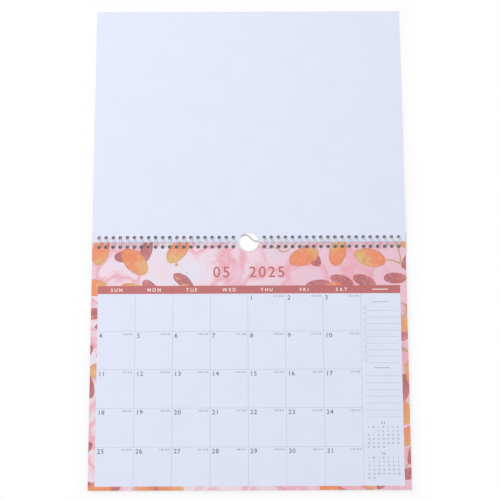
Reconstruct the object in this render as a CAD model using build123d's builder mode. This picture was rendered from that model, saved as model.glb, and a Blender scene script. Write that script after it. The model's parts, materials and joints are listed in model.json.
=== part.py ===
from build123d import *
import os
from math import asin, cos, pi, radians, sin, sqrt, tan

os.makedirs("parts", exist_ok=True)

# Wire-bound wall calendar, lying open and flat on a table, in millimetres.
# X runs along the binding, +Y towards the turned leaves, Z up from the table.

# Leaves, cover and board
page_width = 375.0
page_height = 290.0
leaf_thickness = 0.18
turned_leaf_count = 4
month_leaf_count = 14
cover_thickness = 0.3
board_thickness = 0.6

# Punched edge with its thumb cut
hole_pitch = 25.4 / 3
hole_radius = 2.7
hole_sides = 6
hole_from_edge = 5.25
hole_shift = 0.6
side_margin = 8.0
centre_gap = 37.0
thumb_radius = 11.5

# Twin-loop binding wire: round wire drawn as a many-sided loop of square section
wire_width = 1.0
loop_radius = 4.9
loop_sides = 8
leg_spacing = 1.9
seam_gap = 0.4

# Hanger: a straight wire with one hump that takes the nail
hanger_wire = 1.4
hanger_sides = 8
hanger_length = 140.0
hanger_shift = -4.5
hanger_offset = 1.55
hump_height = 8.0
hump_slope = 42.0
hump_bend = 6.0

# Flexible magnet strips on the back of the board
magnet_length = 340.0
magnet_width = 20.0
magnet_thickness = 1.5
magnet_from_bound_edge = 20.0
magnet_from_free_edge = 12.0

# Clearances
sheet_clearance = 0.3
hanger_clearance = 0.3
table_clearance = 0.05

# The loops stand on the table, so their axis lies one outer radius above it
loop_outer = loop_radius + wire_width / 2
loop_inner = loop_radius - wire_width / 2
loop_mean = (loop_radius + loop_radius / cos(pi / loop_sides)) / 2
axis_height = loop_outer

# Depth of each face below the loop axis, square to its stack
cover_face = sheet_clearance + turned_leaf_count * leaf_thickness
cover_back = cover_face + cover_thickness
board_face = sheet_clearance + month_leaf_count * leaf_thickness
board_back = board_face + board_thickness
magnet_back = board_back + magnet_thickness


def hole_reach(face, back):
    """Distance from the loop axis to a sheet's hole row, which lies a little outside the wire."""
    return sqrt(loop_mean**2 - ((face + back) / 2) ** 2) + hole_shift


def bound_edge(face, back):
    """Distance from the loop axis to the bound edge of a sheet."""
    return hole_reach(face, back) - hole_from_edge


# The turned stack slopes down until the cover's free edge meets the table, and the
# lower stack until its magnet strip does
cover_far = bound_edge(cover_face, cover_back) + page_height
magnet_far = bound_edge(board_face, board_back) + page_height - magnet_from_free_edge
turned_tilt = asin((axis_height - cover_back) / cover_far)
lower_tilt = asin((axis_height - magnet_back) / magnet_far)
loop_axis = Plane((0, 0, axis_height), x_dir=(0, 1, 0), z_dir=(1, 0, 0))
turned_plane = Plane((0, 0, axis_height), x_dir=(1, 0, 0), z_dir=(0, sin(turned_tilt), cos(turned_tilt)))
lower_plane = Plane((0, 0, axis_height), x_dir=(1, 0, 0), z_dir=(0, -sin(lower_tilt), cos(lower_tilt)))

# As many loops as the page has room for on each side of the thumb cut
loops_per_side = int((page_width / 2 - side_margin - centre_gap / 2) / hole_pitch) + 1
group_centre = centre_gap / 2 + hole_pitch * (loops_per_side - 1) / 2


def punched_sheet(name, plane, side, face, back):
    """One sheet or pad of leaves with its hole rows and thumb cut, on its side of the binding."""
    edge = bound_edge(face, back)
    with BuildPart() as sheet:
        with BuildSketch(plane.offset(-back)):
            with Locations((0, side * (edge + page_height / 2))):
                Rectangle(page_width, page_height)
            with Locations((0, side * edge)):
                Circle(thumb_radius, mode=Mode.SUBTRACT)
            with Locations(
                (-group_centre, side * hole_reach(face, back)),
                (group_centre, side * hole_reach(face, back)),
            ):
                with GridLocations(hole_pitch, 1, loops_per_side, 1):
                    RegularPolygon(hole_radius, hole_sides, mode=Mode.SUBTRACT)
        extrude(amount=back - face)
    sheet.part.label = name
    export_step(sheet.part, f"parts/{name}.step")


punched_sheet("turned_leaves", turned_plane, 1, sheet_clearance, cover_face)
punched_sheet("front_cover", turned_plane, 1, cover_face, cover_back)
punched_sheet("month_leaves", lower_plane, -1, sheet_clearance, board_face)
punched_sheet("back_board", lower_plane, -1, board_face, board_back)


def magnet_strip(name, distance):
    """A flexible magnet strip on the back of the board, its middle at a distance from the loop axis."""
    with BuildPart() as strip:
        with BuildSketch(lower_plane.offset(-magnet_back)):
            with Locations((0, -distance)):
                Rectangle(magnet_length, magnet_width)
        extrude(amount=magnet_thickness)
    strip.part.label = name
    export_step(strip.part, f"parts/{name}.step")


board_edge = bound_edge(board_face, board_back)
magnet_strip("magnet_strip_upper", board_edge + magnet_from_bound_edge + magnet_width / 2)
magnet_strip("magnet_strip_lower", magnet_far - magnet_width / 2)

# One leg of the wire: a loop that is open at the seam under the axis
with BuildPart() as leg:
    with BuildSketch(loop_axis):
        turn = -90 - 180 / loop_sides
        RegularPolygon(loop_outer, loop_sides, major_radius=False, rotation=turn)
        RegularPolygon(loop_inner, loop_sides, major_radius=False, rotation=turn, mode=Mode.SUBTRACT)
        with Locations((0, -loop_radius)):
            Rectangle(seam_gap, 2 * wire_width, mode=Mode.SUBTRACT)
    extrude(amount=wire_width / 2, both=True)


def binding_wire(name, side):
    """A comb of twin loops: hairpin tips on one side of the seam, root bars on the other."""
    bar_offset = (seam_gap + wire_width) / 2
    root_span = hole_pitch - leg_spacing + wire_width
    tip_span = leg_spacing + wire_width
    with BuildPart() as wire:
        with Locations((side * group_centre, 0, 0)):
            with GridLocations(hole_pitch, 1, loops_per_side, 1):
                with Locations((-leg_spacing / 2, 0, 0), (leg_spacing / 2, 0, 0)):
                    add(leg.part)
                with Locations((0, bar_offset, wire_width / 2)):
                    Box(tip_span, wire_width, wire_width)
            with GridLocations(hole_pitch, 1, loops_per_side - 1, 1):
                with Locations((0, -bar_offset, wire_width / 2)):
                    Box(root_span, wire_width, wire_width)
    wire.part.label = name
    export_step(wire.part, f"parts/{name}.step")


binding_wire("binding_wire_left", -1)
binding_wire("binding_wire_right", 1)

# The hanger's arms lie in the loops, and its hump slopes down to the table under the turned leaves
hanger_height = axis_height - loop_inner + hanger_clearance + hanger_wire / 2
hump_fall = asin((hanger_height - hanger_wire / 2 - table_clearance) / hump_height)
hump_corner = hump_height + hump_bend * (1 / cos(radians(hump_slope)) - 1)
hump_half = hump_corner / tan(radians(hump_slope))
hanger_plane = Plane(
    (hanger_shift, hanger_offset, hanger_height),
    x_dir=(1, 0, 0),
    z_dir=(0, sin(hump_fall), cos(hump_fall)),
)
with BuildPart() as hanger:
    with BuildLine(hanger_plane) as hanger_path:
        FilletPolyline(
            (-hanger_length / 2, 0),
            (-hump_half, 0),
            (0, hump_corner),
            (hump_half, 0),
            (hanger_length / 2, 0),
            radius=hump_bend,
        )
    with BuildSketch(Plane(hanger_path.line @ 0, z_dir=hanger_path.line % 0)):
        RegularPolygon(hanger_wire / 2, hanger_sides, rotation=180 / hanger_sides)
    sweep()
hanger.part.label = "hanger"
export_step(hanger.part, "parts/hanger.step")
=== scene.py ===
import json
import logging
import math
import random
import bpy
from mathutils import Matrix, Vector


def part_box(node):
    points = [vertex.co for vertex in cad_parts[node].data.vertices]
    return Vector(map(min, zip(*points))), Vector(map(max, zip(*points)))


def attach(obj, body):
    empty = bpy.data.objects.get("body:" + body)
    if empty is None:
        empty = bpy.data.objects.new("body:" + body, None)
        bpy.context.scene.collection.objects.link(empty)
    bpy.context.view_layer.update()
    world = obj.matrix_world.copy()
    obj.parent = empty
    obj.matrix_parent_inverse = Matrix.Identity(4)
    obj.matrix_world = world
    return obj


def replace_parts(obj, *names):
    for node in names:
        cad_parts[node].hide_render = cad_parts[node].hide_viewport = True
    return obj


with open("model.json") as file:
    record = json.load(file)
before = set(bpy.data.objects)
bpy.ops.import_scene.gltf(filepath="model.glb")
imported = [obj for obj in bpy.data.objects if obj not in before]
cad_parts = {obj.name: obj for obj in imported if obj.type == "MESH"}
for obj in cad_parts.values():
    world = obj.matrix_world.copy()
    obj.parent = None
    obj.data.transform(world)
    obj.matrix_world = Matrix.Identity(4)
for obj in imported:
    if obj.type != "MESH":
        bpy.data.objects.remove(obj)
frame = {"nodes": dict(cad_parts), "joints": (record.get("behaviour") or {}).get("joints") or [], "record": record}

from calendar import monthrange
from dataclasses import dataclass, field
from datetime import date
from enum import Enum, IntEnum
from typing import Any, Sequence, Union

import bpy
from mathutils import Matrix, Vector
from mathutils.geometry import tessellate_polygon

LOG = logging.getLogger("calendar")
MM = 0.001
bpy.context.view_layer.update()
WEEKDAYS = ("SUN", "MON", "TUE", "WED", "THU", "FRI", "SAT")
Colour = tuple[float, float, float, float]
Point = tuple[float, float]
Span = tuple[float, float]
Triple = tuple[float, float, float]


# Colours

@dataclass(frozen=True)
class Pigment:
    """A colour as it shows on a screen, from 0 to 255 a channel."""

    red: float
    green: float
    blue: float

    def linear(self) -> Colour:
        """The colour in the linear values that shader sockets take."""
        return (*(self._channel(c / 255) for c in (self.red, self.green, self.blue)), 1.0)

    @staticmethod
    def _channel(value: float) -> float:
        """One screen channel, from 0 to 1, as a linear value."""
        return value / 12.92 if value <= 0.04045 else ((value + 0.055) / 1.055) ** 2.4


WHITE = Pigment(255, 255, 255)
WHITE_PAPER = Pigment(227, 232, 251)
WHITE_PAPER_SHADE = Pigment(225.5, 230.5, 249)
# Painted shade: the sheets' edges, the hole walls and the hidden faces of inner leaves are greyer than the paper,
# for the dark of the gaps between leaves and of the punched holes.
PAINTED_SHADE_EDGE_PALE = Pigment(196, 199, 212)
PAINTED_SHADE_EDGE_DEEP = Pigment(178, 181, 194)
BRICK_ROSE = Pigment(188, 99, 97)
RULE_GREY = Pigment(180, 183, 202)
DATE_GREY = Pigment(102, 105, 127)
COUNT_GREY = Pigment(108, 111, 136)
LABEL_WHITE = Pigment(250, 244, 246)
PALE_LAVENDER = Pigment(230, 228, 245)
PALE_PINK = Pigment(240, 218, 230)
WASH_PINK = Pigment(236, 172, 188)
ORANGE = Pigment(236, 142, 96)
CORAL = Pigment(230, 134, 108)
DUSTY_RED = Pigment(182, 102, 104)
ROSE = Pigment(205, 122, 122)
AMBER = Pigment(238, 176, 102)
STRAW = Pigment(222, 190, 116)
GOLD = Pigment(186, 158, 104)
CARD_GREY = Pigment(158, 154, 148)
CARD_FLECK = Pigment(118, 114, 109)
COAT_WHITE = Pigment(222, 224, 230)
COAT_SHADE = Pigment(208, 211, 218)
STEEL_GREY = Pigment(170, 168, 160)
STEEL_DARK = Pigment(128, 126, 119)
MAGNET_BROWN = Pigment(52, 46, 44)
MAGNET_FLECK = Pigment(74, 66, 62)

Value = Union["Signal", Pigment, float, int, Sequence[float]]


# Shader maths

class Signal:
    """A socket's output that takes part in shader maths as a number would."""

    def __init__(self, graph: "Graph", socket: bpy.types.NodeSocket) -> None:
        """Keeps the graph and the output socket."""
        self.graph = graph
        self.socket = socket

    def __add__(self, other: Value) -> "Signal":
        """self + other."""
        return self.graph.math("ADD", self, other)

    def __radd__(self, other: Value) -> "Signal":
        """other + self."""
        return self.graph.math("ADD", other, self)

    def __sub__(self, other: Value) -> "Signal":
        """self - other."""
        return self.graph.math("SUBTRACT", self, other)

    def __rsub__(self, other: Value) -> "Signal":
        """other - self."""
        return self.graph.math("SUBTRACT", other, self)

    def __mul__(self, other: Value) -> "Signal":
        """self * other."""
        return self.graph.math("MULTIPLY", self, other)

    def __rmul__(self, other: Value) -> "Signal":
        """other * self."""
        return self.graph.math("MULTIPLY", other, self)

    def __gt__(self, other: Value) -> "Signal":
        """1 where self is above other, else 0."""
        return self.graph.math("GREATER_THAN", self, other)

    def __lt__(self, other: Value) -> "Signal":
        """1 where self is below other, else 0."""
        return self.graph.math("LESS_THAN", self, other)

    def __abs__(self) -> "Signal":
        """The size of self without its sign."""
        return self.graph.math("ABSOLUTE", self)

    def between(self, low: float, high: float) -> "Signal":
        """The value as far on from low to high as self is from 0 to 1."""
        return low + (high - low) * self

    def rise(self, low: float, high: float) -> "Signal":
        """A smooth step from 0 at low to 1 at high."""
        inputs = {"Value": self, "From Min": low, "From Max": high}
        return self.graph.node("ShaderNodeMapRange", {"interpolation_type": "SMOOTHSTEP"}, inputs)


class Graph:
    """The node tree of one material, or of the sky."""

    def __init__(self, owner: bpy.types.Material | bpy.types.World) -> None:
        """Empties the owner's tree.

        Args:
            owner: the material or sky that the tree belongs to.
        """
        self.owner = owner
        owner.use_nodes = True
        self.tree = owner.node_tree
        self.tree.nodes.clear()
        sky = isinstance(owner, bpy.types.World)
        self.end = self.tree.nodes.new("ShaderNodeOutputWorld" if sky else "ShaderNodeOutputMaterial")

    def node(
        self,
        kind: str,
        settings: dict[str, Any] | None = None,
        inputs: dict[str | int, Value] | None = None,
        output: str | int = 0,
    ) -> Signal:
        """Adds a node of any kind.

        Args:
            kind: the node's type name.
            settings: its own properties; stops holds a ramp's (place, pigment) pairs.
            inputs: values or links of its sockets, by name or number.
            output: the socket to hand back, by name or number.

        Returns:
            The chosen output.
        """
        made = self.tree.nodes.new(kind)
        for key, value in (settings or {}).items():
            if key == "stops":
                self._set_stops(made.color_ramp, value)
            else:
                setattr(made, key, value)
        for key, value in (inputs or {}).items():
            self.feed(made.inputs[key], value)
        return Signal(self, made.outputs[output])

    @staticmethod
    def _set_stops(ramp: bpy.types.ColorRamp, stops: Sequence[tuple[float, Pigment]]) -> None:
        """Gives a ramp its stops.

        Args:
            ramp: the ramp to fill.
            stops: (place from 0 to 1, pigment) pairs in rising order.
        """
        while len(ramp.elements) < len(stops):
            ramp.elements.new(1.0)
        for element, (place, pigment) in zip(ramp.elements, stops):
            element.position = place
            element.color = pigment.linear()

    def feed(self, socket: bpy.types.NodeSocket, value: Value) -> None:
        """Links a signal to a socket, or sets the socket's own value.

        Args:
            socket: the input socket.
            value: a signal, a pigment, a number or the numbers of a vector or colour.
        """
        if isinstance(value, Signal):
            self.tree.links.new(value.socket, socket)
        else:
            socket.default_value = value.linear() if isinstance(value, Pigment) else value

    def math(self, operation: str, first: Value, second: Value = 0.0) -> Signal:
        """A Math node on numbers."""
        return self.node("ShaderNodeMath", {"operation": operation}, {0: first, 1: second})

    def vector(self, operation: str, first: Value, second: Value) -> Signal:
        """A Vector Math node on two vectors."""
        return self.node("ShaderNodeVectorMath", {"operation": operation}, {0: first, 1: second})

    def length(self, vector: Signal) -> Signal:
        """The length of a vector."""
        return self.node("ShaderNodeVectorMath", {"operation": "LENGTH"}, {0: vector}, "Value")

    def mix(self, factor: Value, first: Value, second: Value) -> Signal:
        """Mixes two colours, which are the node's inputs 6 and 7: the first at 0, the second at 1."""
        inputs = {0: factor, 6: first, 7: second}
        return self.node("ShaderNodeMix", {"data_type": "RGBA"}, inputs, output=2)

    def place(self) -> Signal:
        """The point of the surface in the part's own frame, in metres."""
        return self.node("ShaderNodeTexCoord", output="Object")

    def axis(self, vector: Signal, index: int) -> Signal:
        """One coordinate of a vector: 0, 1 or 2."""
        return self.node("ShaderNodeSeparateXYZ", inputs={0: vector}, output=index)

    def noise(self, size: float, detail: float = 4.0, stretch: Triple = (1, 1, 1)) -> Signal:
        """Noise from 0 to 1.

        Args:
            size: the grain's size in metres.
            detail: how many finer octaves it has.
            stretch: a factor on each axis of the place, below 1 to draw the grain out.

        Returns:
            The noise value.
        """
        where = self.vector("MULTIPLY", self.place(), stretch)
        inputs = {"Vector": where, "Scale": 1 / size, "Detail": detail}
        return self.node("ShaderNodeTexNoise", inputs=inputs)

    def bump(self, height: Signal, distance: float) -> Signal:
        """A bumped normal from a height between 0 and 1, over a distance in metres."""
        return self.node("ShaderNodeBump", inputs={"Height": height, "Distance": distance})

    def seen(self) -> Signal:
        """Tells the rays that see the floor and the sky as a white ground.

        Returns:
            1 for rays from the camera, off gloss and through glass, else 0.
        """
        kinds = ("Is Camera Ray", "Is Glossy Ray", "Is Transmission Ray")
        camera, glossy, clear = (self.node("ShaderNodeLightPath", output=kind) for kind in kinds)
        return self.math("MAXIMUM", self.math("MAXIMUM", camera, glossy), clear)

    def surface(self, **sockets: Value) -> bpy.types.Material:
        """Ends the tree in a Principled surface.

        Args:
            **sockets: the shader's sockets by name, with _ for a space.

        Returns:
            The finished material.
        """
        inputs = {name.replace("_", " ").title(): value for name, value in sockets.items()}
        self.close(self.node("ShaderNodeBsdfPrincipled", inputs=inputs))
        return self.owner

    def close(self, shader: Signal) -> None:
        """Ends the tree in a shader."""
        self.feed(self.end.inputs["Surface"], shader)


# Finishes

@dataclass(frozen=True)
class Finish:
    """What a surface is made of. Each kind draws its own material, once."""

    name: str

    def material(self) -> bpy.types.Material:
        """The finish's material, made on first use."""
        return bpy.data.materials.get(self.name) or self.draw(Graph(bpy.data.materials.new(self.name)))

    def draw(self, graph: Graph) -> bpy.types.Material:
        """Fills the graph; each kind of finish has its own."""
        raise NotImplementedError


@dataclass(frozen=True)
class Paper(Finish):
    """Uncoated calendar paper: a faint cloudy formation and fine fibre tooth."""

    pale: Pigment = WHITE_PAPER
    shade: Pigment = WHITE_PAPER_SHADE
    cloud: float = 26 * MM
    cloud_rise: Span = (0.3, 0.75)
    fibre: float = 0.45 * MM
    fibre_stretch: Triple = (1.0, 0.35, 1.0)
    tooth: float = 0.018 * MM
    rough: Span = (0.62, 0.82)

    def tone(self, graph: Graph) -> Signal:
        """The sheet's own colour, a little cloudy as paper is when it is looked at closely."""
        cloud = graph.noise(self.cloud).rise(*self.cloud_rise)
        return graph.mix(cloud, self.pale, self.shade)

    def draw(self, graph: Graph) -> bpy.types.Material:
        """Paper colour, matt, with the fibres' tooth as bump.

        Args:
            graph: the material's graph.

        Returns:
            The finished material.
        """
        fibres = graph.noise(self.fibre, 5.0, self.fibre_stretch)
        return graph.surface(
            base_color=self.tone(graph),
            roughness=fibres.between(*self.rough),
            normal=graph.bump(fibres, self.tooth),
        )


@dataclass(frozen=True)
class PageLayout:
    """Where the fields of a printed page lie, in metres from its left and bound edges."""

    width: float
    height: float
    side_border: float = 7.8 * MM
    band: float = 52.0 * MM
    bar: float = 9.6 * MM
    foot_border: float = 4.8 * MM
    columns: int = len(WEEKDAYS)
    rows: int = 5
    notes_width: float = 47.4 * MM

    @property
    def right(self) -> float:
        """The right side of the panel."""
        return self.width - self.side_border

    @property
    def grid_right(self) -> float:
        """The right side of the days, where the notes start."""
        return self.right - self.notes_width

    @property
    def grid_top(self) -> float:
        """Where the rows start, under the weekday bar."""
        return self.band + self.bar

    @property
    def grid_foot(self) -> float:
        """Where the rows end."""
        return self.height - self.foot_border

    @property
    def row(self) -> float:
        """The height of a row."""
        return (self.grid_foot - self.grid_top) / self.rows

    @property
    def column(self) -> float:
        """The width of a day column."""
        return (self.grid_right - self.side_border) / self.columns

    def cell(self, column: float, row: float) -> Point:
        """The upper left corner of a day's cell."""
        return self.side_border + column * self.column, self.grid_top + row * self.row


@dataclass(frozen=True)
class PaintedOvals:
    """A scatter of brushed ovals, one to a cell, each turned its own way and shaded along itself.

    The shift takes each scatter to cells of its own, and the share says how many of them are filled.
    """

    head: Pigment
    tail: Pigment
    spacing: float
    long_half: float
    short_half: float
    shift: float
    share: float
    disorder: float = 0.6
    shrink: Span = (0.95, 1.25)
    wobble: float = 0.16
    wobble_size: float = 8 * MM
    edge_rise: Span = (0.93, 1.0)
    drift: float = 0.5
    drift_size: float = 6 * MM
    tail_rise: Span = (0.4, 2.0)
    rim: float = 0.3
    rim_rise: Span = (0.7, 1.0)
    mottle: float = 0.3
    mottle_size: float = 4.5 * MM
    mottle_rise: Span = (0.45, 0.8)
    opacity: float = 0.95

    def paint(self, graph: Graph, ground: Signal, clear_half: float) -> Signal:
        """Paints the scatter over a ground.

        Args:
            graph: the material's graph.
            ground: the colour below.
            clear_half: half the width of the strip down the middle that no oval starts in.

        Returns:
            The ground with the ovals on it.
        """
        where = graph.vector("ADD", graph.place(), (self.shift, self.shift / 2, 0.0))
        flat = graph.vector("MULTIPLY", where, (1.0, 1.0, 0.0))
        cells = {"Vector": flat, "Scale": 1 / self.spacing, "Randomness": self.disorder}
        kind = {"voronoi_dimensions": "2D"}
        middle = graph.node("ShaderNodeTexVoronoi", kind, cells, "Position")
        chance = graph.node("ShaderNodeTexVoronoi", kind, cells, "Color")
        turn, shrink, pick = (graph.axis(chance, index) for index in range(3))
        inputs = {"Vector": graph.vector("SUBTRACT", flat, middle), "Angle": turn * math.tau}
        turned = graph.node("ShaderNodeVectorRotate", {"rotation_type": "Z_AXIS"}, inputs)
        scaled = graph.vector("MULTIPLY", turned, (1 / self.long_half, 1 / self.short_half, 0.0))
        out = graph.length(scaled) * shrink.between(*self.shrink)
        out = out + self.wobble * (graph.noise(self.wobble_size, 2.0) - 0.5)
        apart = abs(graph.axis(middle, 0) - self.shift) > clear_half
        cover = (1 - out.rise(*self.edge_rise)) * (pick < self.share) * apart
        along = graph.axis(scaled, 0) + graph.axis(scaled, 1) * self.drift
        along = along + graph.noise(self.drift_size, 3.0) + pick * self.drift
        paint = graph.mix(along.rise(*self.tail_rise), self.head, self.tail)
        paint = graph.mix(out.rise(*self.rim_rise) * self.rim, paint, DUSTY_RED)
        mottle = graph.noise(self.mottle_size).rise(*self.mottle_rise)
        paint = graph.mix(mottle * self.mottle, paint, PALE_PINK)
        return graph.mix(cover * self.opacity, ground, paint)


@dataclass(frozen=True)
class PrintedPaper(Paper):
    """Paper with a painted border: pale washes under scattered ovals, round a plain panel.

    The rises of pink and veins are the places across the page where they start and where they are full.
    The fleck radius is a share of the flecks' spacing.
    """

    layout: PageLayout | None = None
    bound_edge: float = 0.0
    toward: int = -1
    title_half: float = 64 * MM
    wash_size: float = 62 * MM
    wash_swirl: float = 0.9
    wash_stops: tuple[tuple[float, Pigment], ...] = (
        (0.3, PALE_LAVENDER),
        (0.46, PALE_PINK),
        (0.54, WASH_PINK),
        (0.6, PALE_PINK),
        (0.74, PALE_LAVENDER),
    )
    pink_rise: Span = (-30 * MM, 90 * MM)
    pink_share: float = 0.55
    vein_size: float = 85 * MM
    vein_edge: Span = (0.002, 0.007)
    vein_rise: Span = (-10 * MM, 30 * MM)
    vein_share: float = 0.8
    fleck_spacing: float = 9 * MM
    fleck_radius: float = 0.08
    fleck_share: float = 0.85
    scatters: tuple[PaintedOvals, ...] = (
        PaintedOvals(DUSTY_RED, ROSE, 38 * MM, 17.5 * MM, 8.4 * MM, shift=3.17, share=0.8),
        PaintedOvals(ORANGE, STRAW, 45 * MM, 20.0 * MM, 11.6 * MM, shift=1.31, share=0.9),
        PaintedOvals(CORAL, AMBER, 15 * MM, 2.2 * MM, 1.8 * MM, shift=5.43, share=0.18),
    )

    def wash(self, graph: Graph) -> Signal:
        """The pale wash under the ovals: lavender paper with drifts of pink, fuller on the right.

        Args:
            graph: the material's graph.

        Returns:
            The wash's colour.
        """
        inputs = {"Vector": graph.place(), "Scale": 1 / self.wash_size, "Detail": 5.0}
        flow = graph.node("ShaderNodeTexNoise", inputs={**inputs, "Distortion": self.wash_swirl})
        drifts = graph.node("ShaderNodeValToRGB", {"stops": self.wash_stops}, {0: flow})
        full = graph.axis(graph.place(), 0).rise(*self.pink_rise)
        return graph.mix(full * self.pink_share, drifts, WASH_PINK)

    def art(self, graph: Graph) -> Signal:
        """Washes, thin gold veins, ovals and gold flecks in layers.

        Args:
            graph: the material's graph.

        Returns:
            The painted colour.
        """
        vein = 1 - abs(graph.noise(self.vein_size, 2.0) - 0.5).rise(*self.vein_edge)
        right = graph.axis(graph.place(), 0).rise(*self.vein_rise)
        colour = graph.mix(vein * right * self.vein_share, self.wash(graph), GOLD)
        for scatter in self.scatters:
            colour = scatter.paint(graph, colour, self.title_half)
        spots = {"Vector": graph.place(), "Scale": 1 / self.fleck_spacing}
        near = graph.node("ShaderNodeTexVoronoi", inputs=spots)
        return graph.mix((near < self.fleck_radius) * self.fleck_share, colour, GOLD)

    def tone(self, graph: Graph) -> Signal:
        """Painted border, and bare paper within the panel.

        Args:
            graph: the material's graph.

        Returns:
            The page's colour.
        """
        along = graph.axis(graph.place(), 1) * self.toward - self.bound_edge
        across = abs(graph.axis(graph.place(), 0))
        panel = across < self.layout.width / 2 - self.layout.side_border
        panel = panel * (along > self.layout.band) * (along < self.layout.grid_foot)
        return graph.mix(panel, self.art(graph), super().tone(graph))


@dataclass(frozen=True)
class Card(Finish):
    """Grey card with the darker flecks of its pulp."""

    pulp: float = 1.6 * MM
    fleck_rise: Span = (0.52, 0.72)
    fleck_share: float = 0.5
    tooth: float = 0.03 * MM
    rough: Span = (0.8, 0.9)

    def draw(self, graph: Graph) -> bpy.types.Material:
        """Card colour with flecks and a felt-like tooth.

        Args:
            graph: the material's graph.

        Returns:
            The finished material.
        """
        pulp = graph.noise(self.pulp)
        flecks = pulp.rise(*self.fleck_rise) * self.fleck_share
        return graph.surface(
            base_color=graph.mix(flecks, CARD_GREY, CARD_FLECK),
            roughness=pulp.between(*self.rough),
            normal=graph.bump(pulp, self.tooth),
        )


@dataclass(frozen=True)
class Ink(Finish):
    """Printed ink: one pigment with the slight mottle of a press."""

    pigment: Pigment
    mottle: float = 0.1
    speckle: float = 0.7 * MM
    speckle_rise: Span = (0.35, 0.8)
    rough: Span = (0.48, 0.6)

    def draw(self, graph: Graph) -> bpy.types.Material:
        """The pigment, paler where the paper's tooth shows through.

        Args:
            graph: the material's graph.

        Returns:
            The finished material.
        """
        speckle = graph.noise(self.speckle, 3.0).rise(*self.speckle_rise)
        tone = graph.mix(speckle * self.mottle, self.pigment, WHITE_PAPER)
        return graph.surface(base_color=tone, roughness=speckle.between(*self.rough))


@dataclass(frozen=True)
class CoatedWire(Finish):
    """Wire in a white nylon coat: glossy, with faint scuffs."""

    scuff: float = 1.4 * MM
    scuff_rise: Span = (0.45, 0.75)
    scuff_depth: float = 0.01 * MM
    rough: Span = (0.26, 0.46)

    def draw(self, graph: Graph) -> bpy.types.Material:
        """White coat with scuffs that dull the gloss.

        Args:
            graph: the material's graph.

        Returns:
            The finished material.
        """
        scuff = graph.noise(self.scuff).rise(*self.scuff_rise)
        return graph.surface(
            base_color=graph.mix(scuff, COAT_WHITE, COAT_SHADE),
            roughness=scuff.between(*self.rough),
            normal=graph.bump(scuff, self.scuff_depth),
        )


@dataclass(frozen=True)
class DrawnSteel(Finish):
    """Bare drawn steel wire, streaked along its length."""

    line: float = 0.25 * MM
    line_stretch: Triple = (0.04, 1.0, 1.0)
    line_rise: Span = (0.4, 0.7)
    line_depth: float = 0.012 * MM
    rough: Span = (0.3, 0.52)

    def draw(self, graph: Graph) -> bpy.types.Material:
        """Steel with die lines along X, darker in the lines.

        Args:
            graph: the material's graph.

        Returns:
            The finished material.
        """
        lines = graph.noise(self.line, stretch=self.line_stretch)
        return graph.surface(
            base_color=graph.mix(lines.rise(*self.line_rise), STEEL_GREY, STEEL_DARK),
            metallic=1.0,
            roughness=lines.between(*self.rough),
            normal=graph.bump(lines, self.line_depth),
        )


@dataclass(frozen=True)
class MagnetRubber(Finish):
    """Extruded flexible magnet: dark, with fine ridges along the strip."""

    ridge: float = 1.1 * MM
    ridge_depth: float = 0.06 * MM
    dust: float = 0.8 * MM
    dust_rise: Span = (0.55, 0.75)
    dust_height: float = 0.4
    rough: Span = (0.55, 0.75)

    def draw(self, graph: Graph) -> bpy.types.Material:
        """Dark ferrite rubber with ridges and pale dust flecks.

        Args:
            graph: the material's graph.

        Returns:
            The finished material.
        """
        across = graph.axis(graph.place(), 1)
        ridges = 0.5 + 0.5 * graph.math("SINE", across * (math.tau / self.ridge))
        dust = graph.noise(self.dust)
        return graph.surface(
            base_color=graph.mix(dust.rise(*self.dust_rise), MAGNET_BROWN, MAGNET_FLECK),
            roughness=dust.between(*self.rough),
            normal=graph.bump(ridges + self.dust_height * dust, self.ridge_depth),
        )


@dataclass(frozen=True)
class TableWhite(Finish):
    """The white table: diffuse, and white to the camera away from the object and in its thumb cut.

    Of that white, the share lift starts outside the strip under the binding, where the punched holes stay
    dark, and the rest rises beyond the sheets. Near and under the sheets this glow is painted light that
    lightens the object's shadow, and in the thumb cut it is painted light over the sheets' shade.
    """

    white: float = 0.97
    half_width: float = 188 * MM
    half_depth: float = 291 * MM
    binding_half: float = 12 * MM
    near: float = 2 * MM
    far: float = 24 * MM
    lift: float = 0.7
    opening: float = 12 * MM
    opening_rim: float = 15.6 * MM
    opening_lift: float = 0.9

    def draw(self, graph: Graph) -> bpy.types.Material:
        """Diffuse white that shows the object's shadow, lightened near it by painted light.

        Args:
            graph: the material's graph.

        Returns:
            The finished material.
        """
        tone = (self.white, self.white, self.white, 1.0)
        shade = graph.node("ShaderNodeBsdfDiffuse", inputs={"Color": tone})
        glow = graph.node("ShaderNodeEmission", inputs={"Color": WHITE, "Strength": 1.0})
        beside = abs(graph.axis(graph.place(), 0)) - self.half_width
        along = abs(graph.axis(graph.place(), 1))
        outside = graph.math("MAXIMUM", beside, along - self.half_depth).rise(0.0, self.far)
        unbound = graph.math("MAXIMUM", beside, along - self.binding_half).rise(0.0, self.near)
        # Painted light: by the share lift the table glows to the camera right up to the sheets and under them,
        # which lightens their shadow.
        apart = self.lift * unbound + (1 - self.lift) * outside
        # Painted light: the table seen in the thumb cut glows nearly white over the sheets' shade.
        within = 1 - graph.length(graph.place()).rise(self.opening, self.opening_rim)
        apart = graph.math("MAXIMUM", apart, self.opening_lift * within)
        graph.close(graph.node("ShaderNodeMixShader", inputs={0: graph.seen() * apart, 1: shade, 2: glow}))
        return graph.owner


# Pieces and their places

def hinge_place(child: str) -> Sequence[float]:
    """Where the hinge that carries a body lies."""
    return next(joint["pos_m"] for joint in frame["joints"] if joint["child"] == child)


def put(name: str, data: bpy.types.ID) -> bpy.types.Object:
    """Adds an object to the scene.

    Args:
        name: the object's name.
        data: its mesh, curve, lamp or camera.

    Returns:
        The new object, in the row frame.
    """
    made = bpy.data.objects.new(name, data)
    bpy.context.scene.collection.objects.link(made)
    return made


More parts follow.
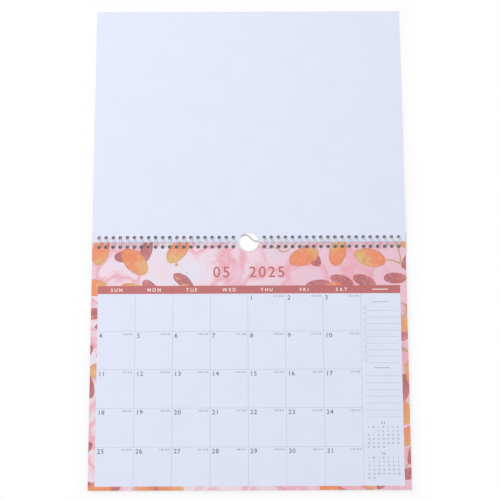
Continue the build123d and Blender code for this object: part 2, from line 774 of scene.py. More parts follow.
class Shape:
    """Vertices and faces that become one mesh piece."""

    def __init__(self) -> None:
        """Starts empty."""
        self.points: list[Vector] = []
        self.faces: list[tuple[int, ...]] = []
        self.finishes: list[int] = []

    def add(
        self, points: Sequence[Vector], faces: Sequence[Sequence[int]], finishes: Sequence[int] = ()
    ) -> None:
        """Adds points and the faces between them.

        Args:
            points: the new points.
            faces: faces as numbers within the new points.
            finishes: the number of each face's finish; without them all take the first.
        """
        base = len(self.points)
        self.points.extend(points)
        self.faces.extend(tuple(base + i for i in face) for face in faces)
        self.finishes.extend(finishes or [0] * len(faces))

    def piece(self, name: str, finishes: Sequence[Finish]) -> bpy.types.Object:
        """Makes the piece.

        Args:
            name: the piece's name.
            finishes: the finishes that the faces' numbers stand for.

        Returns:
            The new object, in the row frame.
        """
        mesh = bpy.data.meshes.new(name)
        mesh.from_pydata([tuple(p) for p in self.points], [], self.faces)
        mesh.polygons.foreach_set("material_index", self.finishes)
        for finish in finishes:
            mesh.materials.append(finish.material())
        mesh.update()
        return put(name, mesh)


# Sheets

@dataclass
class SheetPlace:
    """Where a sheet or pad lies: its directions from the loop axis, and its extent along them."""

    origin: Vector
    out: Vector
    normal: Vector
    near: float
    far: float
    top: float
    foot: float
    half_width: float

    @classmethod
    def of(cls, node: str, axis_height: float) -> "SheetPlace":
        """Reads a node's place from the frame.

        Args:
            node: the CAD node.
            axis_height: the loop axis above the table.

        Returns:
            The place, with distances measured from the loop axis.
        """
        mesh = frame["nodes"][node].data
        normal = max(mesh.polygons, key=lambda face: face.area).normal.copy()
        normal = normal if normal.z > 0 else -normal
        low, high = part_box(node)
        side = 1 if low.y + high.y > 0 else -1
        out = Vector((side, 0, 0)).cross(normal) * -1
        origin = Vector((0, 0, axis_height))
        reach = [(v.co - origin).dot(out) for v in mesh.vertices]
        lift = [(v.co - origin).dot(normal) for v in mesh.vertices]
        return cls(origin, out, normal, min(reach), max(reach), max(lift), min(lift), high.x)

    @property
    def handed(self) -> float:
        """1 where across, along and normal are right-handed, -1 where they are left-handed."""
        return Vector((1, 0, 0)).cross(self.out).dot(self.normal)

    def at(self, across: float, along: float, lift: float) -> Vector:
        """The point at a place across the binding, along the sheet and square to it."""
        return self.origin + Vector((across, 0, 0)) + along * self.out + lift * self.normal


class Face(Enum):
    """Which face of a sheet, as it lies at rest."""

    UPPER = 1
    UNDER = -1


@dataclass
class PageFace:
    """One face of a sheet, to print on: places are given from its left and bound edges."""

    place: SheetPlace
    face: Face
    surface: float

    def at(self, left: float, down: float, lift: float) -> Vector:
        """The point of the face at a place on the page, lifted off the paper."""
        across = left - self.place.half_width
        return self.place.at(across, self.place.near + down, self.surface + self.face.value * lift)


@dataclass
class Punching:
    """The hole row and the thumb cut of every sheet."""

    pitch: float = 25.4 / 3 * MM
    hole_radius: float = 2.35 * MM
    hole_from_edge: float = 5.25 * MM
    thumb_radius: float = 11.5 * MM
    finger_half: float = 1.45 * MM
    hole_points: int = 20
    thumb_points: int = 40

    def finger_places(self, node: str) -> list[float]:
        """Where a wire's fingers stand along the binding, read from its box.

        Args:
            node: the binding wire's CAD node.

        Returns:
            The middle of each finger, in X.
        """
        low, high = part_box(node)
        first, last = low.x + self.finger_half, high.x - self.finger_half
        count = round((last - first) / self.pitch) + 1
        return [first + i * (last - first) / (count - 1) for i in range(count)]

    def outline(self, place: SheetPlace, near: float) -> list[Point]:
        """The sheet's outer loop with the thumb cut, as (across, along) points.

        Args:
            place: where the sheet lies.
            near: where its bound edge is drawn, at or before the place's own.

        Returns:
            The loop's points in order.
        """
        half = place.half_width
        arc = [math.pi * i / self.thumb_points for i in range(self.thumb_points + 1)]
        cut = [(-self.thumb_radius * math.cos(a), self.thumb_radius * math.sin(a)) for a in arc]
        cut = [(x, place.near + y) for x, y in cut]
        if near < place.near:
            cut = [(cut[0][0], near), *cut, (cut[-1][0], near)]
        return [(-half, near), *cut, (half, near), (half, place.far), (-half, place.far)]

    def holes(self, place: SheetPlace) -> list[list[Point]]:
        """The punched holes in a sheet's row.

        Args:
            place: where the sheet lies.

        Returns:
            One loop of (across, along) points for each hole.
        """
        row = place.near + self.hole_from_edge
        turns = [math.tau * i / self.hole_points for i in range(self.hole_points)]
        ring = [(self.hole_radius * math.cos(a), self.hole_radius * math.sin(a)) for a in turns]
        wires = ("binding_wire_left", "binding_wire_right")
        middles = [x for wire in wires for x in self.finger_places(wire)]
        return [[(middle + x, row + y) for x, y in ring] for middle in middles]


class Skin(IntEnum):
    """Which of a sheet's finishes a face takes."""

    EDGE = 0
    UPPER = 1
    UNDER = 2


@dataclass
class SheetPad:
    """A sheet, or a pad of them, punched along its bound edge."""

    node: str
    slot: str
    leaf_count: int
    place: SheetPlace
    punching: Punching
    upper: Finish
    under: Finish
    edge: Finish
    seed: int
    paper_share: float = 0.88
    stray: float = 0.14 * MM
    seam_reach: float = 0.2 * MM

    @property
    def near(self) -> float:
        """The bound edge: loose leaves settle closer to the seam than a single card."""
        return self.place.near - (self.seam_reach if self.leaf_count > 1 else 0.0)

    @property
    def body(self) -> str:
        """The body that the node belongs to."""
        bodies = frame["record"]["behaviour"]["bodies"]
        return next(body for body, nodes in bodies.items() if self.node in nodes)

    def leaf_lift(self, index: int) -> Span:
        """How high a leaf's faces lie, square to the pad.

        Args:
            index: the leaf's number from the top.

        Returns:
            Its upper and its under face.
        """
        step = (self.place.top - self.place.foot) / self.leaf_count
        middle = self.place.top - (index + 0.5) * step
        half = step / 2 * (self.paper_share if self.leaf_count > 1 else 1.0)
        return middle + half, middle - half

    def page(self, face: Face) -> PageFace:
        """The pad's upper or under face, to print on."""
        lift = self.leaf_lift(0)[0] if face is Face.UPPER else self.leaf_lift(self.leaf_count - 1)[1]
        return PageFace(self.place, face, lift)

    def build(self) -> bpy.types.Object:
        """Builds the pad leaf by leaf, each a hair out of line as hand-knocked paper is.

        Returns:
            The piece that stands for the node.
        """
        loops = [self.punching.outline(self.place, self.near), *self.punching.holes(self.place)]
        flat = [point for loop in loops for point in loop]
        triangles = tessellate_polygon([[Vector((x, y, 0)) for x, y in loop] for loop in loops])
        triangles = [self._upward(flat, t) for t in triangles]
        chance = random.Random(self.seed)
        shape = Shape()
        for index in range(self.leaf_count):
            stray = self.stray if index else 0.0
            offset = (chance.uniform(-stray, stray), chance.uniform(-stray, stray))
            self._add_leaf(shape, loops, triangles, index, offset)
        made = shape.piece(f"{self.node}_pad", [self.edge, self.upper, self.under])
        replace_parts(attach(made, self.body), self.node)
        return made

    def _upward(self, flat: list[Point], triangle: Sequence[int]) -> tuple[int, ...]:
        """Turns a triangle to face up the sheet's normal.

        Args:
            flat: the points of the outline and the holes in a row.
            triangle: the numbers of its corners.

        Returns:
            The corners in the right order.
        """
        a, b, c = (Vector((*flat[i], 0)) for i in triangle)
        turn = (b - a).cross(c - a).z * self.place.handed
        return tuple(triangle) if turn > 0 else tuple(reversed(triangle))

    def _add_leaf(
        self,
        shape: Shape,
        loops: list[list[Point]],
        triangles: list[tuple[int, ...]],
        index: int,
        offset: Point,
    ) -> None:
        """Adds one leaf: two faces and the walls of its outline and holes.

        Args:
            shape: the shape that grows.
            loops: the outline and the holes.
            triangles: the leaf's face, as numbers of the loops' points in a row.
            index: the leaf's number from the top.
            offset: how far the leaf lies out of line.
        """
        half, far = self.place.half_width, self.place.far
        moved = [(x + offset[0], y + offset[1]) for loop in loops for x, y in loop]
        flat = [(max(-half, min(half, x)), max(self.near, min(far, y))) for x, y in moved]
        count = len(flat)
        points = [self.place.at(x, y, lift) for lift in self.leaf_lift(index) for x, y in flat]
        walls = self._walls(loops, count)
        below = [tuple(count + i for i in reversed(t)) for t in triangles]
        last = index == self.leaf_count - 1
        finishes = [Skin.EDGE] * len(walls)
        finishes += [Skin.EDGE if index else Skin.UPPER] * len(triangles)
        finishes += [Skin.UNDER if last else Skin.EDGE] * len(below)
        shape.add(points, [*walls, *triangles, *below], finishes)

    def _walls(self, loops: list[list[Point]], count: int) -> list[tuple[int, ...]]:
        """The walls round the outline and in the holes, facing out of the paper.

        Args:
            loops: the outline first, then the holes.
            count: how many points the upper face has.

        Returns:
            Four-cornered faces.
        """
        walls, base = [], 0
        for number, loop in enumerate(loops):
            size = len(loop)
            area = sum(loop[i - 1][0] * loop[i][1] - loop[i][0] * loop[i - 1][1] for i in range(size))
            outward = (area * self.place.handed > 0) == (number == 0)
            for i in range(size):
                a, b = base + i, base + (i + 1) % size
                wall = (a, count + a, count + b, b)
                walls.append(wall if outward else tuple(reversed(wall)))
            base += size
        return walls


# Print

class Align(Enum):
    """Which part of a line of figures stands at its place."""

    LEFT = 0.0
    CENTER = 0.5
    RIGHT = 1.0


@dataclass
class Glyph:
    """One figure or letter, in figure heights from its left side and base line."""

    points: list[Triple]
    faces: list[tuple[int, ...]]
    width: float


@dataclass
class Figures:
    """Plain figures and letters, each shaped once. Figures all take the room of a nought.

    The weight says how much fuller than the plain type the strokes are, in the type's own size. The gap
    and the space are in figure heights.
    """

    weight: float
    gap: float = 0.16
    space: float = 0.55
    curve_steps: int = 6

    def __post_init__(self) -> None:
        """Measures a nought, which sets the scale of the rest."""
        self.glyphs: dict[str, Glyph] = {}
        self.scale = 1.0
        ups = [y for _, y, _ in self.shape("0").points]
        self.scale = 1 / (max(ups) - min(ups))

    def shape(self, sign: str) -> Glyph:
        """Shapes one sign from the plain type.

        Args:
            sign: a figure or letter.

        Returns:
            The sign as a closed solid of depth 1.
        """
        curve = bpy.data.curves.new("figure", "FONT")
        curve.body = sign
        curve.resolution_u = self.curve_steps
        curve.extrude = 0.5
        curve.offset = self.weight
        holder = bpy.data.objects.new("figure", curve)
        mesh = bpy.data.meshes.new_from_object(holder)
        left = min(v.co.x for v in mesh.vertices)
        right = max(v.co.x for v in mesh.vertices)
        points = [((v.co.x - left) * self.scale, v.co.y * self.scale, v.co.z + 0.5) for v in mesh.vertices]
        glyph = Glyph(points, [tuple(p.vertices) for p in mesh.polygons], (right - left) * self.scale)
        bpy.data.objects.remove(holder)
        bpy.data.curves.remove(curve)
        bpy.data.meshes.remove(mesh)
        return glyph

    def glyph(self, sign: str) -> Glyph:
        """A sign's glyph, shaped on first use.

        Args:
            sign: a figure, a letter or a space.

        Returns:
            The glyph, which is empty for a space.
        """
        if sign not in self.glyphs:
            self.glyphs[sign] = self.shape(sign) if sign.strip() else Glyph([], [], self.space)
        return self.glyphs[sign]

    def line(self, words: str, tracking: float, align: Align) -> list[tuple[float, Glyph]]:
        """Sets a line of signs.

        Args:
            words: what it says.
            tracking: extra gap between signs, in figure heights.
            align: which part of the line stands at 0.

        Returns:
            Each sign's left side and glyph.
        """
        figure = self.glyph("0").width
        glyphs = [self.glyph(sign) for sign in words]
        cells = [figure if sign.isdigit() else glyph.width for sign, glyph in zip(words, glyphs)]
        gap = self.gap + tracking
        whole = sum(cells) + gap * (len(cells) - 1)
        place, line = -align.value * whole, []
        for glyph, cell in zip(glyphs, cells):
            line.append((place + (cell - glyph.width) / 2, glyph))
            place += cell + gap
        return line


@dataclass
class PrintLayer:
    """Ink of one pigment on one face: thin raised bars and figures.

    The lift is how far the ink film's foot stands off the paper.
    """

    name: str
    face: PageFace
    ink: Ink
    figures: Figures
    lift: float = 0.004 * MM
    film: float = 0.014 * MM
    shape: Shape = field(default_factory=Shape)

    def bar(self, left: float, top: float, right: float, foot: float) -> None:
        """Prints a filled rectangle.

        Args:
            left: its left side on the page.
            top: its side towards the bound edge.
            right: its right side.
            foot: its side away from the bound edge.
        """
        corners = [(left, top), (left, foot), (right, foot), (right, top)]
        lifts = (self.lift + self.film, self.lift)
        points = [self.face.at(x, y, lift) for lift in lifts for x, y in corners]
        sides = [(i, i + 4, (i + 1) % 4 + 4, (i + 1) % 4) for i in range(4)]
        self.shape.add(points, [(0, 1, 2, 3), (7, 6, 5, 4), *sides])

    def rule(self, start: Point, end: Point, weight: float) -> None:
        """Prints a rule along or across the page, centred on the line between two points."""
        half = weight / 2
        self.bar(start[0] - half, start[1] - half, end[0] + half, end[1] + half)

    def box(self, left: float, top: float, size: float, weight: float) -> None:
        """Prints the outline of a small square.

        Args:
            left: its left side on the page.
            top: its side towards the bound edge.
            size: its width and height.
            weight: how thick its lines are.
        """
        right, foot, half = left + size, top + size, weight / 2
        for y in (top, foot):
            self.rule((left, y), (right, y), weight)
        for x in (left, right):
            self.bar(x - half, top + half, x + half, foot - half)

    def text(
        self, words: str, place: Point, height: float, align: Align = Align.LEFT, tracking: float = 0.0
    ) -> None:
        """Prints plain figures or letters.

        Args:
            words: what it says.
            place: where the aligned part of its base line stands.
            height: how tall a figure is.
            align: which part of the line stands at that place.
            tracking: extra gap between signs, in figure heights.
        """
        left, foot = place
        for start, glyph in self.figures.line(words, tracking, align):
            points = [
                self.face.at(left + (start + x) * height, foot - y * height, self.lift + z * self.film)
                for x, y, z in glyph.points
            ]
            self.shape.add(points, glyph.faces)

    def build(self, pad: SheetPad) -> bpy.types.Object:
        """Makes the layer's piece, which rides on its pad's body."""
        made = self.shape.piece(self.name, [self.ink])
        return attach(made, pad.body)


@dataclass(frozen=True)
class Month:
    """A month of a year, laid out in weeks that start on Sunday."""

    year: int
    number: int

    @property
    def first_column(self) -> int:
        """The column of its first day, whose weekday is counted from Monday on."""
        return (monthrange(self.year, self.number)[0] + 1) % len(WEEKDAYS)

    @property
    def days(self) -> int:
        """How many days it has."""
        return monthrange(self.year, self.number)[1]

    @property
    def days_of_year(self) -> int:
        """How many days its year has."""
        return date(self.year, 12, 31).timetuple().tm_yday

    def day_of_year(self, day: int) -> int:
        """How far into the year one of its days is, counted from 1."""
        return date(self.year, self.number, day).timetuple().tm_yday

    def beside(self, step: int) -> "Month":
        """The month that comes a number of months later, or earlier."""
        year, months = divmod(12 * self.year + self.number - 1 + step, 12)
        return Month(year, months + 1)

    def cells(self) -> list[tuple[int, int, int]]:
        """Each day's number, column and row in the grid."""
        places = [divmod(self.first_column + day, len(WEEKDAYS)) for day in range(self.days)]
        return [(day, column, row) for day, (row, column) in enumerate(places, 1)]


@dataclass
class NotesColumn:
    """The column beside the days: headings, lines with boxes to tick, plain lines and two small months.

    Places down the page are measured from its bound edge.
    """

    left_margin: float = 3.2 * MM
    right_margin: float = 3.4 * MM
    line_weight: float = 0.36 * MM
    headings: Span = (71.9 * MM, 149.7 * MM)
    heading_half: float = 9 * MM
    heading_weight: float = 0.5 * MM
    tick_count: int = 9
    tick_first: float = 82.2 * MM
    tick_step: float = 7.71 * MM
    tick_indent: float = 2.0 * MM
    box_size: float = 3.2 * MM
    box_rise: float = 5.6 * MM
    line_count: int = 7
    line_first: float = 159.0 * MM
    line_step: float = 7.93 * MM
    line_indent: float = 1.0 * MM
    month_first: float = 214.6 * MM
    month_step: float = 35.1 * MM
    month_height: float = 2.5 * MM
    month_tracking: float = 0.2
    day_height: float = 1.9 * MM
    day_tracking: float = 0.05
    day_step: float = 5.7 * MM
    day_line: float = 4.55 * MM

    def heading(self, layer: PrintLayer, middle: float, level: float, weight: float) -> None:
        """Prints a short rule where a heading stands."""
        half = self.heading_half
        layer.rule((middle - half, level), (middle + half, level), weight)

    def print_lines(self, layout: PageLayout, rules: PrintLayer) -> None:
        """Prints the lines, the first of them with boxes to tick.

        Args:
            layout: the page's fields.
            rules: the layer of fine grey rules.
        """
        left, right = layout.grid_right + self.left_margin, layout.right - self.right_margin
        for line in range(self.tick_count):
            y = self.tick_first + line * self.tick_step
            rules.box(left, y - self.box_rise, self.box_size, self.line_weight)
            rules.rule((left + self.tick_indent, y), (right, y), self.line_weight)
        for line in range(self.line_count):
            y = self.line_first + line * self.line_step
            rules.rule((left + self.line_indent, y), (right, y), self.line_weight)

    def print_figures(self, layout: PageLayout, dates: PrintLayer, month: Month) -> None:
        """Prints the two headings' rules, and the months before and after the page's own.

        Args:
            layout: the page's fields.
            dates: the layer of dark grey figures.
            month: the page's month.
        """
        middle = (layout.grid_right + self.left_margin + layout.right - self.right_margin) / 2
        for level in self.headings:
            self.heading(dates, middle, level, self.heading_weight)
        for place, step in enumerate((-1, 1)):
            top = self.month_first + place * self.month_step
            self.print_small(dates, middle, top, month.beside(step))

    def print_small(self, dates: PrintLayer, middle: float, top: float, month: Month) -> None:
        """Prints a neighbouring month small.

        Args:
            dates: the layer to print on.
            middle: the middle of its width.
            top: the base line of its heading.
            month: the month.
        """
        number = f"{month.number:02d}"
        dates.text(number, (middle, top), self.month_height, Align.CENTER, self.month_tracking)
        count = len(WEEKDAYS)
        columns = [middle + (column - count // 2) * self.day_step for column in range(count)]
        for x, word in zip(columns, WEEKDAYS):
            dates.text(word[0], (x, top + self.day_line), self.day_height, Align.CENTER)
        for day, column, row in month.cells():
            place = (columns[column], top + (row + 2) * self.day_line)
            dates.text(str(day), place, self.day_height, Align.CENTER, self.day_tracking)


@dataclass
class MonthPrint:
    """What a month page says: a numbered grid, a weekday bar and a column for notes."""

    name: str
    pad: SheetPad
    face: Face
    layout: PageLayout
    month: Month
    figures: Figures
    titles: Figures
    notes: NotesColumn = field(default_factory=NotesColumn)
    rule_weight: float = 0.34 * MM
    date_height: float = 5.4 * MM
    date_inset: float = 2.4 * MM
    date_drop: float = 1.9 * MM
    count_height: float = 2.1 * MM
    count_tracking: float = 0.1
    title_height: float = 13.2 * MM
    title_rise: float = 10.1 * MM
    title_tracking: float = 0.06
    label_height: float = 4.0 * MM
    label_tracking: float = 0.35
    label_rule: float = 0.9 * MM
    label_lift: float = 0.022 * MM

    def build(self) -> list[bpy.types.Object]:
        """Prints the page.

        Returns:
            The pieces, one for each ink.
        """
        page = self.pad.page(self.face)
        rules = PrintLayer(f"{self.name}_rules", page, Ink("rule_ink", RULE_GREY), self.figures)
        dates = PrintLayer(f"{self.name}_dates", page, Ink("date_ink", DATE_GREY), self.figures)
        counts = PrintLayer(f"{self.name}_counts", page, Ink("count_ink", COUNT_GREY), self.figures)
        rose = PrintLayer(f"{self.name}_bar", page, Ink("rose_ink", BRICK_ROSE), self.titles)
        white = Ink("label_ink", LABEL_WHITE)
        labels = PrintLayer(f"{self.name}_labels", page, white, self.figures, self.label_lift)
        self.print_grid(rules)
        self.print_bar(rose, labels)
        self.print_dates(dates, counts)
        self.notes.print_lines(self.layout, rules)
        self.notes.print_figures(self.layout, dates, self.month)
        return [layer.build(self.pad) for layer in (rules, dates, counts, rose, labels)]

    def print_grid(self, rules: PrintLayer) -> None:
        """Prints the lines between the days.

        Args:
            rules: the layer of fine grey rules.
        """
        lay = self.layout
        for row in range(1, lay.rows):
            start, end = lay.cell(0, row), lay.cell(lay.columns, row)
            rules.rule(start, end, self.rule_weight)
        for column in range(1, lay.columns + 1):
            start, end = lay.cell(column, 0), lay.cell(column, lay.rows)
            rules.rule(start, end, self.rule_weight)

    def print_bar(self, rose: PrintLayer, labels: PrintLayer) -> None:
        """Prints the bar with the weekdays, and the month and year above it.

        Args:
            rose: the layer of the bar and the title.
            labels: the layer of white signs on the bar.
        """
        lay = self.layout
        rose.bar(lay.side_border, lay.band, lay.right, lay.grid_top)
        foot = lay.band + (lay.bar + self.label_height) / 2
        for column, word in enumerate(WEEKDAYS):
            middle, _ = lay.cell(column + 0.5, 0)
            labels.text(word, (middle, foot), self.label_height, Align.CENTER, self.label_tracking)
        middle, level = (lay.grid_right + lay.right) / 2, lay.band + lay.bar / 2
        self.notes.heading(labels, middle, level, self.label_rule)
        title = f"{self.month.number:02d}  {self.month.year}"
        place = (lay.width / 2, lay.band - self.title_rise)
        rose.text(title, place, self.title_height, Align.CENTER, self.title_tracking)

    def print_dates(self, dates: PrintLayer, counts: PrintLayer) -> None:
        """Prints each day's number, and small beside it the days of the year gone and to come.

        Args:
            dates: the layer of dark grey figures.
            counts: the layer of small figures.
        """
        for day, column, row in self.month.cells():
            left, top = self.layout.cell(column, row)
            place = (left + self.date_inset, top + self.date_drop + self.date_height)
            dates.text(str(day), place, self.date_height)
            gone = self.month.day_of_year(day)
            right = left + self.layout.column - self.date_inset
            place = (right, top + self.date_drop + self.count_height)
            count = f"{gone:03d}-{self.month.days_of_year - gone:03d}"
            counts.text(count, place, self.count_height, Align.RIGHT, self.count_tracking)


# Wires

def round_wire(
    name: str, path: Sequence[Vector], radius: float, finish: Finish, rounding: int = 3
) -> bpy.types.Object:
    """A round wire along a line of points.

    Args:
        name: the piece's name.
        path: the points of its middle line.
        radius: half its thickness.
        finish: its finish.
        rounding: how finely its section is rounded.

    Returns:
        The curve object, in the row frame.
    """
    curve = bpy.data.curves.new(name, "CURVE")
    curve.dimensions = "3D"
    curve.bevel_depth = radius
    curve.bevel_resolution = rounding
    curve.use_fill_caps = True
    spline = curve.splines.new("POLY")
    spline.points.add(len(path) - 1)
    for point, where in zip(spline.points, path):
        point.co = (*where, 1.0)
    spline.use_smooth = True
    curve.materials.append(finish.material())
    return put(name, curve)


@dataclass
class BindingWire:
    """One length of twin-loop wire: hairpin fingers that bend round and meet their own roots.

    Pressed shut, the loops are a little narrower than high.
    """

    node: str
    punching: Punching
    finish: Finish
    axis_height: float
    wire_radius: float = 0.42 * MM
    narrowing: float = 0.9
    leg_half: float = 0.95 * MM
    seam_half: float = 0.2 * MM
    root_bend: float = 1.5 * MM
    arc_points: int = 34
    bend_points: int = 5

    def __post_init__(self) -> None:
        """Reads the radius of the wire's middle line from the node's box."""
        low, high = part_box(self.node)
        self.radius = (high.z - low.z) / 2 - self.wire_radius

    def on_loop(self, across: float, run: float) -> Vector:
        """A point of the wire's middle line.

        Args:
            across: its place along the binding.
            run: its distance round the loop from the bottom, going up the lower pages' side.

        Returns:
            The point.
        """
        angle = -math.pi / 2 - run / self.radius
        out = self.narrowing * self.radius * math.cos(angle)
        up = self.radius * math.sin(angle)
        return Vector((across, out, self.axis_height + up))

    def path(self) -> list[Vector]:
        """The wire's middle line, finger by finger.

        Returns:
            The points of one unbroken line.
        """
        fingers = self.punching.finger_places(self.node)
        half = self.leg_half
        root = self.seam_half + self.wire_radius
        tip = math.tau * self.radius - root - half
        leg_start = root + self.root_bend
        steps = [leg_start + (tip - leg_start) * i / self.arc_points for i in range(self.arc_points + 1)]
        turns = [math.pi * i / (2 * self.bend_points) for i in range(1, 2 * self.bend_points)]
        flat: list[Point] = []
        for number, middle in enumerate(fingers):
            if number:
                flat += self._root_corner(middle - half, root, -1)
            flat += [(middle - half, s) for s in steps]
            flat += [(middle - half * math.cos(a), tip + half * math.sin(a)) for a in turns]
            flat += [(middle + half, s) for s in reversed(steps)]
            if number < len(fingers) - 1:
                flat += self._root_corner(middle + half, root, 1)
        return [self.on_loop(x, s) for x, s in flat]

    def _root_corner(self, leg: float, root: float, side: int) -> list[Point]:
        """The bend between a leg and the root bar beside it.

        Args:
            leg: the leg's place along the binding.
            root: the run at which the bar lies.
            side: 1 where the bar goes on to the right of the leg, -1 where it comes from the left.

        Returns:
            The bend's points in the wire's order.
        """
        bend = self.root_bend
        turns = [math.pi / 2 * i / self.bend_points for i in range(1, self.bend_points + 1)]
        corner = [(leg + side * bend * (1 - math.cos(a)), root + bend * (1 - math.sin(a))) for a in turns]
        return corner if side > 0 else corner[::-1]

    def build(self) -> bpy.types.Object:
        """Makes the wire as a round curve.

        Returns:
            The piece that stands for the node.
        """
        made = round_wire(f"{self.node}_loops", self.path(), self.wire_radius, self.finish)
        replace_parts(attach(made, "back"), self.node)
        return made


@dataclass
class Hanger:
    """The steel hanger: straight arms in the loops and one hump for the nail."""

    finish: Finish
    node: str = "hanger"
    wire_radius: float = 0.65 * MM
    hump_height: float = 8.0 * MM
    hump_slope: float = math.radians(42)
    hump_bend: float = 6.0 * MM
    table_clearance: float = 0.05 * MM
    bend_points: int = 8

    def profile(self, half_length: float) -> list[Point]:
        """Half of the middle line, from the hump's top to the arm's end, as (along, out) points.

        Args:
            half_length: from the hump's middle to an arm's end.

        Returns:
            The points: crown, flank, foot bend and arm.
        """
        slope, bend = self.hump_slope, self.hump_bend
        steps = [slope * i / self.bend_points for i in range(self.bend_points + 1)]
        crown = [(bend * math.sin(a), self.hump_height - bend * (1 - math.cos(a))) for a in steps]
        drop = self.hump_height - 2 * bend * (1 - math.cos(slope))
        foot_end = 2 * bend * math.sin(slope) + drop / math.tan(slope)
        foot = [(foot_end - bend * math.sin(a), bend * (1 - math.cos(a))) for a in reversed(steps)]
        return [*crown, *foot, (half_length, 0.0)]

    def build(self) -> bpy.types.Object:
        """Makes the hanger as a round curve, its hump sloping down to the table.

        Returns:
            The piece that stands for the node.
        """
        low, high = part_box(self.node)
        base = Vector((0.5 * (low.x + high.x), *hinge_place("hanger")[1:]))
        fall = math.asin((base.z - self.wire_radius - self.table_clearance) / self.hump_height)
        out = Vector((0, math.cos(fall), -math.sin(fall)))
        right = self.profile((high.x - low.x) / 2)
        line = [(-x, y) for x, y in reversed(right[1:])] + right
        path = [base + Vector((x, 0, 0)) + y * out for x, y in line]
        made = round_wire("hanger_wire", path, self.wire_radius, self.finish)
        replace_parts(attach(made, "hanger"), self.node)
        return made


# Studio

@dataclass
class SoftLamp:
    """A square soft lamp that looks at the object's middle, in metres and watts."""

    name: str
    place: Triple
    size: float
    power: float

    def hang(self) -> None:
        """Adds the lamp to the scene."""
        data = bpy.data.lights.new(self.name, "AREA")
        data.size = self.size
        data.energy = self.power
        made = put(self.name, data)
        made.location = self.place
        made.rotation_mode = "QUATERNION"
        made.rotation_quaternion = (-Vector(self.place)).to_track_quat("-Z", "Y")


@dataclass
class Studio:
    """White table, soft light and the camera that looks almost straight down.

    The key lamp hangs at the upper left and the fill opposite. The sensor is in the lens's millimetres.
    """

    camera_place: Vector = field(default_factory=lambda: Vector((1.3, -182.0, 1188.4)) * MM)
    camera_fall: float = math.radians(81.705)
    camera_roll: float = math.radians(-0.2)
    camera_far: float = 50.0
    focal_pixels: float = 1000.0
    image_pixels: float = 500.0
    sensor: float = 36.0
    ambient: float = 0.53
    key: SoftLamp = field(default_factory=lambda: SoftLamp("key", (-0.9, 0.7, 1.9), 1.6, 25.6))
    fill: SoftLamp = field(default_factory=lambda: SoftLamp("fill", (1.1, -0.8, 1.7), 1.4, 3.2))
    table_size: float = 8.0
    table_height: float = -0.02 * MM

    def camera(self) -> None:
        """Sets up the camera at the photograph's height, tilt and lens."""
        data = bpy.data.cameras.new("camera")
        data.sensor_width = self.sensor
        data.lens = self.focal_pixels / self.image_pixels * self.sensor
        data.clip_end = self.camera_far
        made = put("camera", data)
        tilt = Matrix.Rotation(math.pi / 2 - self.camera_fall, 4, "X")
        roll = Matrix.Rotation(self.camera_roll, 4, "Z")
        made.matrix_world = Matrix.Translation(self.camera_place) @ tilt @ roll
        bpy.context.scene.camera = made

    def table(self) -> None:
        """Lays the white table: diffuse near the object with painted light that lightens its shadow, seen as pure
        white further out.
        """
        half = self.table_size / 2
        corners = [(-half, -half), (half, -half), (half, half), (-half, half)]
        shape = Shape()
        shape.add([Vector((x, y, self.table_height)) for x, y in corners], [(0, 1, 2, 3)])
        shape.piece("table_top", [TableWhite("table_white")])

    def light(self) -> None:
        """Hangs the lamps under an even sky that is seen as white."""
        self.key.hang()
        self.fill.hang()
        graph = Graph(bpy.data.worlds.new("sky"))
        light = graph.node("ShaderNodeBackground", inputs={"Color": WHITE, "Strength": self.ambient})
        ground = graph.node("ShaderNodeBackground", inputs={"Color": WHITE, "Strength": 1.0})
        graph.close(graph.node("ShaderNodeMixShader", inputs={0: graph.seen(), 1: light, 2: ground}))
        bpy.context.scene.world = graph.owner

    def build(self) -> None:
        """Sets up camera, table, light and plain colour handling."""
        self.camera()
        self.table()
        self.light()
        bpy.context.scene.view_settings.view_transform = "Standard"


# The whole calendar

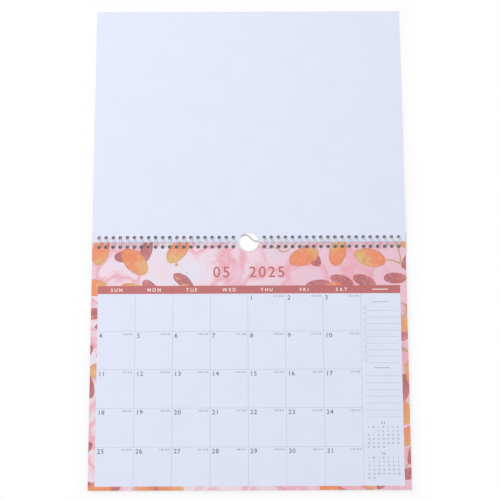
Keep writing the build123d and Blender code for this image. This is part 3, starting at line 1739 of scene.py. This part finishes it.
@dataclass
class Calendar:
    """The whole object, put together from its sheets, print, wires and fittings."""

    year: int = 2025
    open_month: int = 5
    first_month: int = 1
    month_leaf_count: int = 14
    turned_leaf_count: int = 4
    cover_side: float = 26 * MM
    cover_band: float = 74 * MM
    cover_title_half: float = 0.1 * MM
    year_height: float = 27 * MM
    year_foot: float = 160 * MM
    year_tracking: float = 0.15
    figure_weight: float = 0.014
    title_weight: float = 0.008

    def __post_init__(self) -> None:
        """Reads the loop axis and the sheets' places from the frame."""
        self.axis_height = hinge_place("month_leaves")[2]
        self.punching = Punching()
        sheets = ("month_leaves", "turned_leaves", "front_cover", "back_board")
        self.places = {name: SheetPlace.of(name, self.axis_height) for name in sheets}
        page = self.places["month_leaves"]
        self.layout = PageLayout(2 * page.half_width, page.far - page.near)
        self.pads: dict[str, SheetPad] = {}

    def add_pad(self, node: str, slot: str, leaves: int, finishes: Sequence[Finish], seed: int) -> None:
        """Adds a pad at its node's place.

        Args:
            node: the CAD node.
            slot: the record's material slot.
            leaves: how many leaves it has.
            finishes: its upper face, its under face and its leaves' edges.
            seed: what its leaves' places are drawn from.
        """
        place = self.places[node]
        self.pads[node] = SheetPad(node, slot, leaves, place, self.punching, *finishes, seed)

    def painted(self, name: str, node: str, layout: PageLayout, **sizes: float) -> PrintedPaper:
        """A painted page's finish, on a node's sheet.

        Args:
            name: the finish's name.
            node: the CAD node.
            layout: the page's fields.
            **sizes: the finish's own sizes, where they aren't the usual ones.

        Returns:
            The finish.
        """
        place = self.places[node]
        toward = 1 if place.out.y > 0 else -1
        return PrintedPaper(name, layout=layout, bound_edge=place.near, toward=toward, **sizes)

    def build_sheets(self) -> list[bpy.types.Object]:
        """Builds the two pads of leaves, the cover and the board.

        Returns:
            The pieces.
        """
        paper = Paper("plain_paper")
        # Painted shade: a grey paper on the leaves' edges, hole walls and inner faces, so the gaps between leaves
        # and the punched holes look dark.
        edge = Paper("edge_paper_painted_shade", PAINTED_SHADE_EDGE_PALE, PAINTED_SHADE_EDGE_DEEP)
        card = Card("grey_card")
        page = self.layout
        framed = PageLayout(
            page.width, page.height, self.cover_side, self.cover_band, foot_border=self.cover_band
        )
        month = self.painted("month_page", "month_leaves", page)
        turned = self.painted("turned_page", "turned_leaves", page)
        cover = self.painted("cover_page", "front_cover", framed, title_half=self.cover_title_half)
        self.add_pad("month_leaves", "month_paper", self.month_leaf_count, (month, paper, edge), seed=3)
        self.add_pad("turned_leaves", "turned_paper", self.turned_leaf_count, (paper, turned, edge), seed=5)
        self.add_pad("front_cover", "cover_card", 1, (paper, cover, edge), seed=7)
        self.add_pad("back_board", "board_card", 1, (card, card, card), seed=9)
        return [pad.build() for pad in self.pads.values()]

    def build_print(self) -> list[bpy.types.Object]:
        """Prints the open month, the first month under the turned pad, and the year on the cover.

        Returns:
            The pieces.
        """
        types = Figures(self.figure_weight), Figures(self.title_weight)
        pieces = []
        for name, node, face, number in (
            ("open_month", "month_leaves", Face.UPPER, self.open_month),
            ("first_month", "turned_leaves", Face.UNDER, self.first_month),
        ):
            month = Month(self.year, number)
            pieces += MonthPrint(name, self.pads[node], face, self.layout, month, *types).build()
        cover = self.pads["front_cover"]
        year = PrintLayer("cover_year", cover.page(Face.UNDER), Ink("rose_ink", BRICK_ROSE), types[1])
        place = (self.layout.width / 2, self.year_foot)
        year.text(str(self.year), place, self.year_height, Align.CENTER, self.year_tracking)
        return [*pieces, year.build(cover)]

    def build_fittings(self) -> list[bpy.types.Object]:
        """Builds the wires and the hanger, and dresses the magnet strips.

        Returns:
            The pieces.
        """
        coat = CoatedWire("white_coat")
        wires = [
            BindingWire(node, self.punching, coat, self.axis_height).build()
            for node in ("binding_wire_left", "binding_wire_right")
        ]
        hanger = Hanger(DrawnSteel("drawn_steel")).build()
        rubber = MagnetRubber("magnet_rubber").material()
        strips = [frame["nodes"][node] for node in ("magnet_strip_upper", "magnet_strip_lower")]
        for strip in strips:
            strip.data.materials.clear()
            strip.data.materials.append(rubber)
        return [*wires, hanger, *strips]

    def build(self) -> list[bpy.types.Object]:
        """Builds every piece in order."""
        return self.build_sheets() + self.build_print() + self.build_fittings()


def main() -> None:
    """Builds the studio and the calendar, and reports each piece."""
    logging.basicConfig(level=logging.INFO, format="%(message)s")
    Studio().build()
    for piece in Calendar().build():
        LOG.info("built %s", piece.name)
    bpy.context.view_layer.update()


if __name__ == "__main__":
    main()
